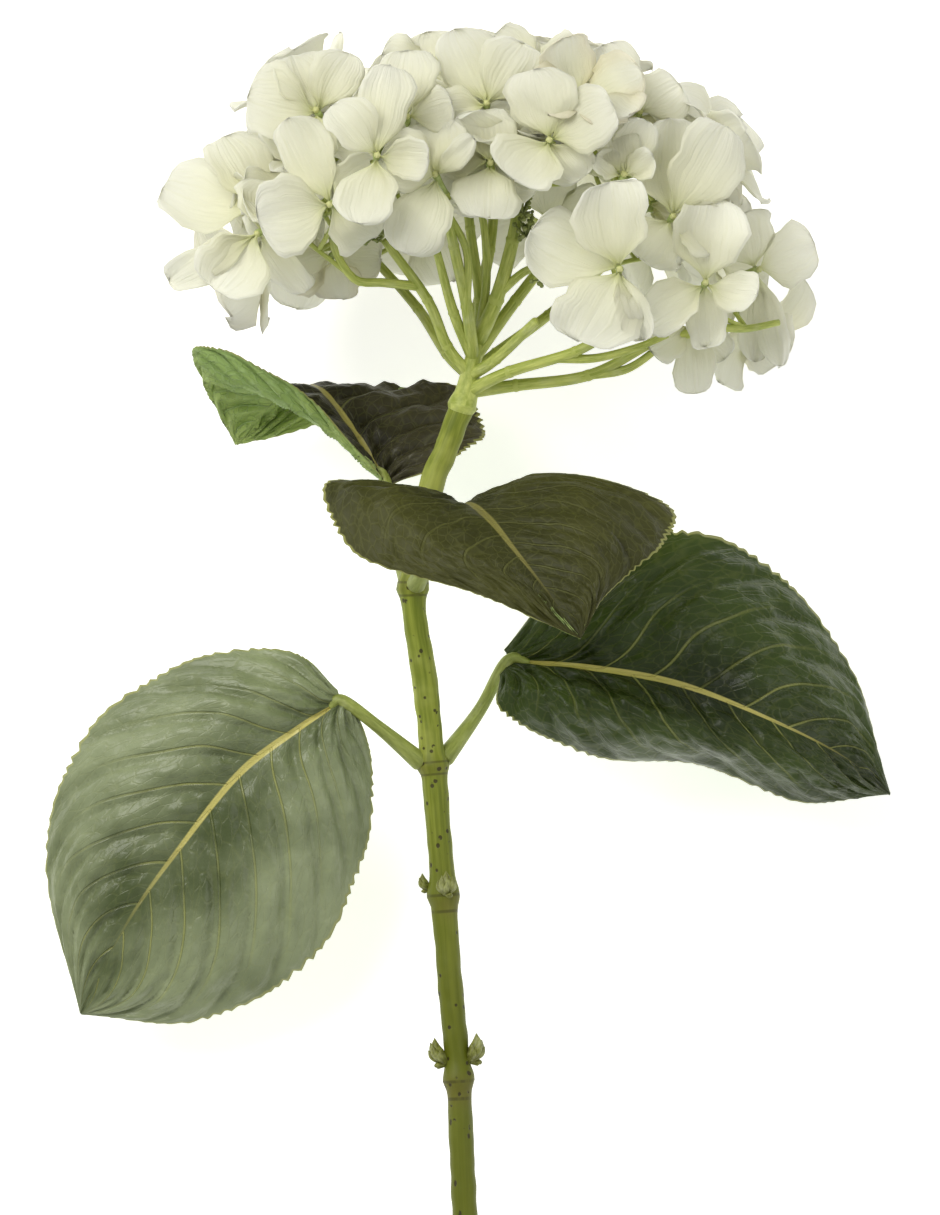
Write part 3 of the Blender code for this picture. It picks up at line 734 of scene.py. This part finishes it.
# The sepals of the florets that show most at the front: where each one's tip lies from its floret's
# centre, and how broad it is. The number is the floret's place in the list.
frontSepals = {
    0: ((-29, 5, -6, 27), (-9, 21, -8, 17), (6, 15, -14, 17)),
    1: ((-13, -17, 4, 21), (-25, -17, -5, 11), (12, -18, -10, 10), (4, 15, -6, 20)),
    2: ((-21, -6, 3, 23), (-11, 26, -4, 15), (12, -10, -12, 17), (14, 12, -6, 16)),
    3: ((-4, -20, 5, 17), (-13, 15, 0, 14), (3, 27, -5, 15), (15, -2, 3, 12)),
    4: ((-16, 7, 5, 18), (-7, -23, 3, 18), (10, 12, 5, 7), (2, 16, -8, 18)),
    5: ((-2, -16, 6, 19), (-2, 16, -4, 17), (15, 3, -4, 14), (-15, 4, -6, 15)),
    6: ((-21, 3, -3, 22), (-8, 17, -8, 17), (8, 18, -2, 15), (-2, -14, 5, 16)),
    7: ((-1, 20, -2, 17), (-12, -4, 9, 9), (13, 5, 3, 14), (-14, 9, -4, 16)),
    8: ((-8, 23, -2, 17), (10, 19, -2, 17), (3, -11, 7, 15), (-14, -2, 3, 13)),
    9: ((-4, 21, 0, 20), (19, 9, 3, 18), (-10, -12, 6, 21), (8, -12, -2, 14)),
    10: ((-5, 25, 2, 21), (-25, 13, -3, 22), (-10, -22, 4, 24), (6, -21, 0, 9)),
    11: ((4, 25, 2, 21), (-18, -12, 4, 14), (15, -4, 6, 12), (2, -18, -4, 12)),
    12: ((6, 17, 2, 12), (-3, 16, -3, 13), (-8, 6, 4, 9), (9, 6, 5, 9)),
    13: ((-3, 29, 0, 17), (16, 27, -3, 20), (-9, -12, -6, 18), (14, -6, -2, 16)),
    14: ((18, 6, 0, 17), (9, -28, 2, 9), (-2, -27, -6, 9), (-6, 16, -4, 18)),
    15: ((-9, 21, 0, 15), (12, 9, 3, 16), (-8, -11, 4, 16), (8, -8, -4, 14)),
    16: ((-13, 11, 0, 16), (14, 7, -2, 15), (2, -12, 8, 16), (1, 10, -9, 15)),
    17: ((-2, 11, 0, 15), (-14, 5, 3, 14), (12, 5, 4, 15), (0, -13, 8, 17)),
    19: ((2, -20, 0, 12), (-12, -7, 4, 13), (10, -10, -5, 12)),
    20: ((3, -13, -2, 15), (-15, -6, 2, 16), (14, -2, -6, 15)),
}
# More florets fill the dome behind the front ones: how many, the dome's middle and its reach each way.
filling = {
    "count": 66, "spread": 106, "middle": (8, 55, -4), "reach": (61, 35, 42), "length": (16, 20),
    "seed": 500, "stray": 0.5, "cup": (14, 40),
    # none are kept below the first height, or below the second one among the stalks
    "lowest": 50, "lowestInside": 68, "inside": (12, 46),
}
fillers = []
for k in range(filling["count"]):
    rng = Random(filling["seed"] + k)
    out = 2.4 * k
    tilt = radians(filling["spread"]) * sqrt((k + 0.5) / filling["count"])
    facing = Vector((sin(tilt) * cos(out), cos(tilt) * 0.72 + sin(tilt) * sin(out) * 0.7, 0))
    facing.z = cos(tilt) * 0.7 - sin(tilt) * sin(out) * 0.72
    centre = [filling["middle"][i] + filling["reach"][i] * facing[i] for i in range(3)]
    inside = abs(centre[0] - filling["inside"][0]) < filling["inside"][1]
    if centre[1] < (filling["lowestInside"] if inside else filling["lowest"]):
        continue
    aim = facing + Vector([rng.uniform(-filling["stray"], filling["stray"]) for _ in range(3)])
    turn = rng.uniform(0, 90)
    length = rng.uniform(*filling["length"])
    fillers.append((centre, tuple(aim), turn, length, rng.uniform(*filling["cup"])))

sepalLook = {
    "columns": 10, "rows": 12, "thick": 0.18, "broad": 0.54, "scale": 1.06, "longer": 1.03, "crossCup": 0.10,
    "ripple": 0.065, "curl": 42, "raised": 12, "dent": 1.6, "tilt": 0.34,
    "groove": 0.5, "grooveBreadth": 0.14,
    # the middle of a floret: its ball, the small balls round it and the stalk behind it
    "eyeRadius": 1.0, "grainRadius": 0.4, "grainRing": 0.75, "stalkRadii": (1.3, 0.8, 0.75),
    "white": (234, 234, 216), "cream": (220, 219, 176), "heart": (192, 198, 112), "tan": (208, 194, 144),
    "eye": (226, 226, 170), "eyeDark": (176, 180, 96), "stalk": (170, 184, 112), "stalkDark": (134, 150, 74),
}


def sepalMaterial():
    look = Look("sepal")
    across, along = look.uv()
    age = look.attribute("age")
    side = abs(across * 2 - 1)
    patch = look.noise(look.place(), 90, 3)
    # veins fan out from the sepal's foot
    fan = look.point(across * 22, along * 1.6, age * 7)
    veins = look.noise(fan, 1, 2, 0.5)
    colour = look.mix(along.between(0.95, 0.2) * 0.8 + patch * 0.2, sepalLook["white"], sepalLook["cream"])
    colour = look.mix(along.between(0.36, 0.04) * 0.8, colour, sepalLook["heart"])
    colour = look.mix(veins.between(0.5, 0.7) * 0.22, colour, sepalLook["cream"])
    colour = look.mix(age.between(0.72, 1) * side.between(0.2, 1) * 0.5, colour, sepalLook["tan"])
    look.fixed(Subsurface_Weight=0.35, Subsurface_Scale=0.004)
    look.shader.inputs["Subsurface Radius"].default_value = (1, 1, 0.9)
    return look.finish(colour, 0.5 + 0.1 * patch, veins + patch * 0.6, 0.0008, 0.55)


def addSepal(work, foot, tip, facing, broad, rng):
    # one sepal from its foot to its tip, with its upper face turned to facing
    out = tip - foot
    length = out.length
    out.normalize()
    across = facing.cross(out).normalized()
    normal = out.cross(across)
    curl = radians(rng.uniform(-1, 0.8) * sepalLook["curl"])
    cup = sepalLook["crossCup"] * rng.uniform(-0.3, 1.7)
    fore = rng.uniform(0.55, 0.8)
    ripple = sepalLook["ripple"] * length * rng.uniform(0.5, 1.6)
    phase = rng.uniform(0, 6)
    skew = rng.uniform(-0.1, 0.1)
    seed = rng.uniform(0, 50)

    def place(u, v):
        side = 2 * u - 1
        turned = pi * (0.03 + 0.97 * v)
        f = (1 - cos(turned)) / 2
        half = broad / 2 * (sin(turned) ** fore * (0.78 + 0.4 * f) * between(f, -0.05, 0.32) + 0.03)
        half *= 1 + 0.09 * sin(7 * f + phase) * side + 0.05 * sin(19 * f + seed)
        p = out * length * f + across * (side * half + skew * length * f * f)
        wave = ripple * sin(8 * f + phase + side * 2.5) * abs(side) ** 1.5 * f
        dent = sepalLook["dent"] * noise(Vector((side * 1.6 + seed, f * 2.2, seed)))
        bow = -4 * curl * f * (1 - f) * length * 0.28
        groove = sepalLook["groove"] * bell(side / sepalLook["grooveBreadth"]) * f * (1 - f) * 2
        return foot + p + normal * (bow + cup * 2 * half * side * side + wave + dent - groove)

    addSheet(work, sepalLook["columns"], sepalLook["rows"], place)


def addRosette(work, matrix, length, cup, rng):
    # four sepals round a floret's middle, in two pairs
    for k in range(4):
        grow = length * rng.uniform(0.86, 1.08)
        rise = radians(sepalLook["raised"] * (k % 2) + cup + rng.uniform(-14, 14))
        turn = k * pi / 2 + radians(rng.uniform(-12, 12))
        out = Vector((cos(turn), sin(turn), 0))
        foot = out * 1.3 + Vector((0, 0, 0.5 + 0.5 * (k % 2)))
        tip = foot + (out * cos(rise) + Vector((0, 0, sin(rise)))) * grow
        facing = Vector((0, 0, cos(rise))) - out * sin(rise)
        broad = sepalLook["broad"] * 2 * grow * rng.uniform(0.84, 1.08)
        addSepal(work, matrix @ foot, matrix @ tip, matrix.to_3x3() @ facing, broad, rng)


def addFrontSepals(work, centre, aim, tips, rng):
    # the sepals whose tips are given; they face the front, a little towards the floret's own aim
    for x, y, z, broad in tips:
        tip = Vector((x, y, z)) * sepalLook["longer"]
        facing = Vector((0, 0.1, 1)) + Vector(aim).normalized() * 0.35 + tip * -0.014
        facing += Vector([rng.uniform(-1, 1) * sepalLook["tilt"] for _ in range(3)])
        foot = Vector(centre) + tip.normalized() * 1.2 + Vector((0, 0, rng.uniform(-0.4, 0.8)))
        addSepal(work, foot, Vector(centre) + tip, facing, broad * sepalLook["scale"], rng)


def floretMatrix(centre, aim, turn):
    facing = Vector(aim).normalized()
    place = Matrix.Translation(Vector(centre)) @ facing.to_track_quat("Z", "Y").to_matrix().to_4x4()
    return place @ Matrix.Rotation(radians(turn), 4, "Z")


def makeFloret(name, spec, materials, nodes, seed, tips=()):
    centre, aim, turn, length, cup = spec
    rng = Random(seed)
    matrix = floretMatrix(centre, aim, turn)
    work = bmesh.new()
    if tips:
        addFrontSepals(work, centre, aim, tips, rng)
    else:
        addRosette(work, matrix, length * sepalLook["scale"], cup, rng)
    bmesh.ops.recalc_face_normals(work, faces=work.faces)
    bmesh.ops.solidify(work, geom=work.faces[:], thickness=sepalLook["thick"])
    addBall(work, matrix @ Vector((0, 0, 1.2)), sepalLook["eyeRadius"], 2, 1)
    for k in range(4):
        small = Vector((cos(k * pi / 2 + 0.8), sin(k * pi / 2 + 0.8), 2.2)) * sepalLook["grainRing"]
        addBall(work, matrix @ small, sepalLook["grainRadius"], 1, 1)
    line = [matrix @ Vector((0, 0, z)) for z in (0.8, -4, -9)]
    addTube(work, line, sepalLook["stalkRadii"], 8, 8, 2, 0.1)
    piece = finishPiece(work, name, materials, nodes)
    age = piece.data.attributes.new("age", "FLOAT", "POINT")
    age.data.foreach_set("value", [rng.uniform(0, 1)] * len(piece.data.vertices))


def addStalks(work):
    joints = []
    addTube(work, cyme["crown"], cyme["crownRadii"], 30, 24, 0, 0.02)
    for start, points, radii in cyme["stalks"]:
        joints += [Vector(point) for point in points]
        line = (cyme["crown"][start], *points)
        addTube(work, line, (radii[0] * 1.15, *radii), 30, 12)
        for point, radius in zip(points[:-1], radii):
            addBall(work, point, radius * 1.12, 2)
    for line in cyme["sideStalks"]:
        addTube(work, line, cyme["sideRadii"], 24, 10)
        joints.append(Vector(line[2]))
    for centre, aim, *_ in florets + fillers:
        facing = Vector(aim).normalized()
        end = Vector(centre) - facing * cyme["twigTurn"]
        start = min(joints, key=lambda point: (point - end).length)
        middle = start.lerp(end, 0.55) - facing * (end - start).length * 0.15
        joints.append(middle)
        line = (start, middle, end, Vector(centre) - facing * cyme["twigEnd"])
        addTube(work, line, [cyme["twigRadius"]] * len(line), 16, 8)


def makeCyme():
    work = bmesh.new()
    addStalks(work)
    skin = stalkMaterial("flowerStalks", cyme["light"], cyme["dark"])
    finishPiece(work, "flowerStalks", [skin], ["cyme"])


def makeClusters():
    # the small closed flowers in among the stalks
    rng = Random(77)
    work = bmesh.new()
    for centre in cyme["clusters"]:
        root = Vector(centre) - Vector((0, 3, 1))
        for _ in range(cyme["clusterBuds"]):
            way = Vector([rng.uniform(-1, 1) for _ in range(3)]).normalized() + Vector((0, 0.5, 0.3))
            spot = root + way * cyme["clusterReach"] * rng.uniform(0.6, 1.1)
            addTube(work, (root, root.lerp(spot, 0.5), spot), cyme["clusterStalk"], 3, 4, 0, 0.2)
            addBall(work, spot, rng.uniform(*cyme["clusterBud"]), 1)
    skin = stalkMaterial("closedFlowers", cyme["budLight"], cyme["budDark"])
    finishPiece(work, "closedFlowers", [skin])


makeCyme()
makeClusters()
floretMaterials = [
    sepalMaterial(),
    stalkMaterial("floretEye", sepalLook["eye"], sepalLook["eyeDark"]),
    stalkMaterial("floretStalk", sepalLook["stalk"], sepalLook["stalkDark"]),
]
for k, spec in enumerate(florets):
    node = f"floret_{k + 1:02d}"
    makeFloret(f"floret{k + 1:02d}Sepals", spec, floretMaterials, [node], 40 + k, frontSepals.get(k, ()))
for k, spec in enumerate(fillers):
    makeFloret(f"innerFloret{k + 1:02d}", spec, floretMaterials, [], 200 + k)
print("stage: flower stalks and florets")


# The buds: the joint that each sits in, its place round the stem in degrees, and its length.
buds = {
    "bud_front": (-153, 80, 7.5),
    "bud_left_upper": (-152, 190, 5.5),
    "bud_left_lower": (-205, 172, 8.5),
    "bud_right_lower": (-204, 8, 9.0),
}
# The scales of a bud: how far out, across and up each one's tip lies, and how thick it is.
budScales = (
    (0.36, 0, 0.95, 0.24), (0.5, 0.2, 0.78, 0.15), (0.5, -0.22, 0.72, 0.15),
    (0.62, 0.05, 0.5, 0.13), (0.2, 0.3, 0.6, 0.13), (0.2, -0.3, 0.55, 0.13), (0.42, -0.1, -0.12, 0.12),
)


def makeBud(name, material):
    y, turn, length = buds[name]
    out = Vector((cos(radians(turn)), 0, sin(radians(turn))))
    along = lineDirection(stem["line"], stemPlace(y))
    side = along.cross(out)
    foot = smoothLine(stem["line"], stemPlace(y)) + out * (stemRadius(y) - 0.6)
    work = bmesh.new()
    for outward, across, tall, thick in budScales:
        tip = foot + (out * outward + side * across - along * tall) * length
        middle = foot.lerp(tip, 0.5) + (out * 0.14 + side * across * 0.5) * length
        addTube(work, (foot, middle, tip), (length * thick * 0.7, length * thick, 0.1), 18, 12)
    finishPiece(work, name + "Scales", [material], [name])


budSkin = stalkMaterial("budScales", (136, 142, 60), (82, 82, 24))
for budName in buds:
    makeBud(budName, budSkin)
print("stage: buds")
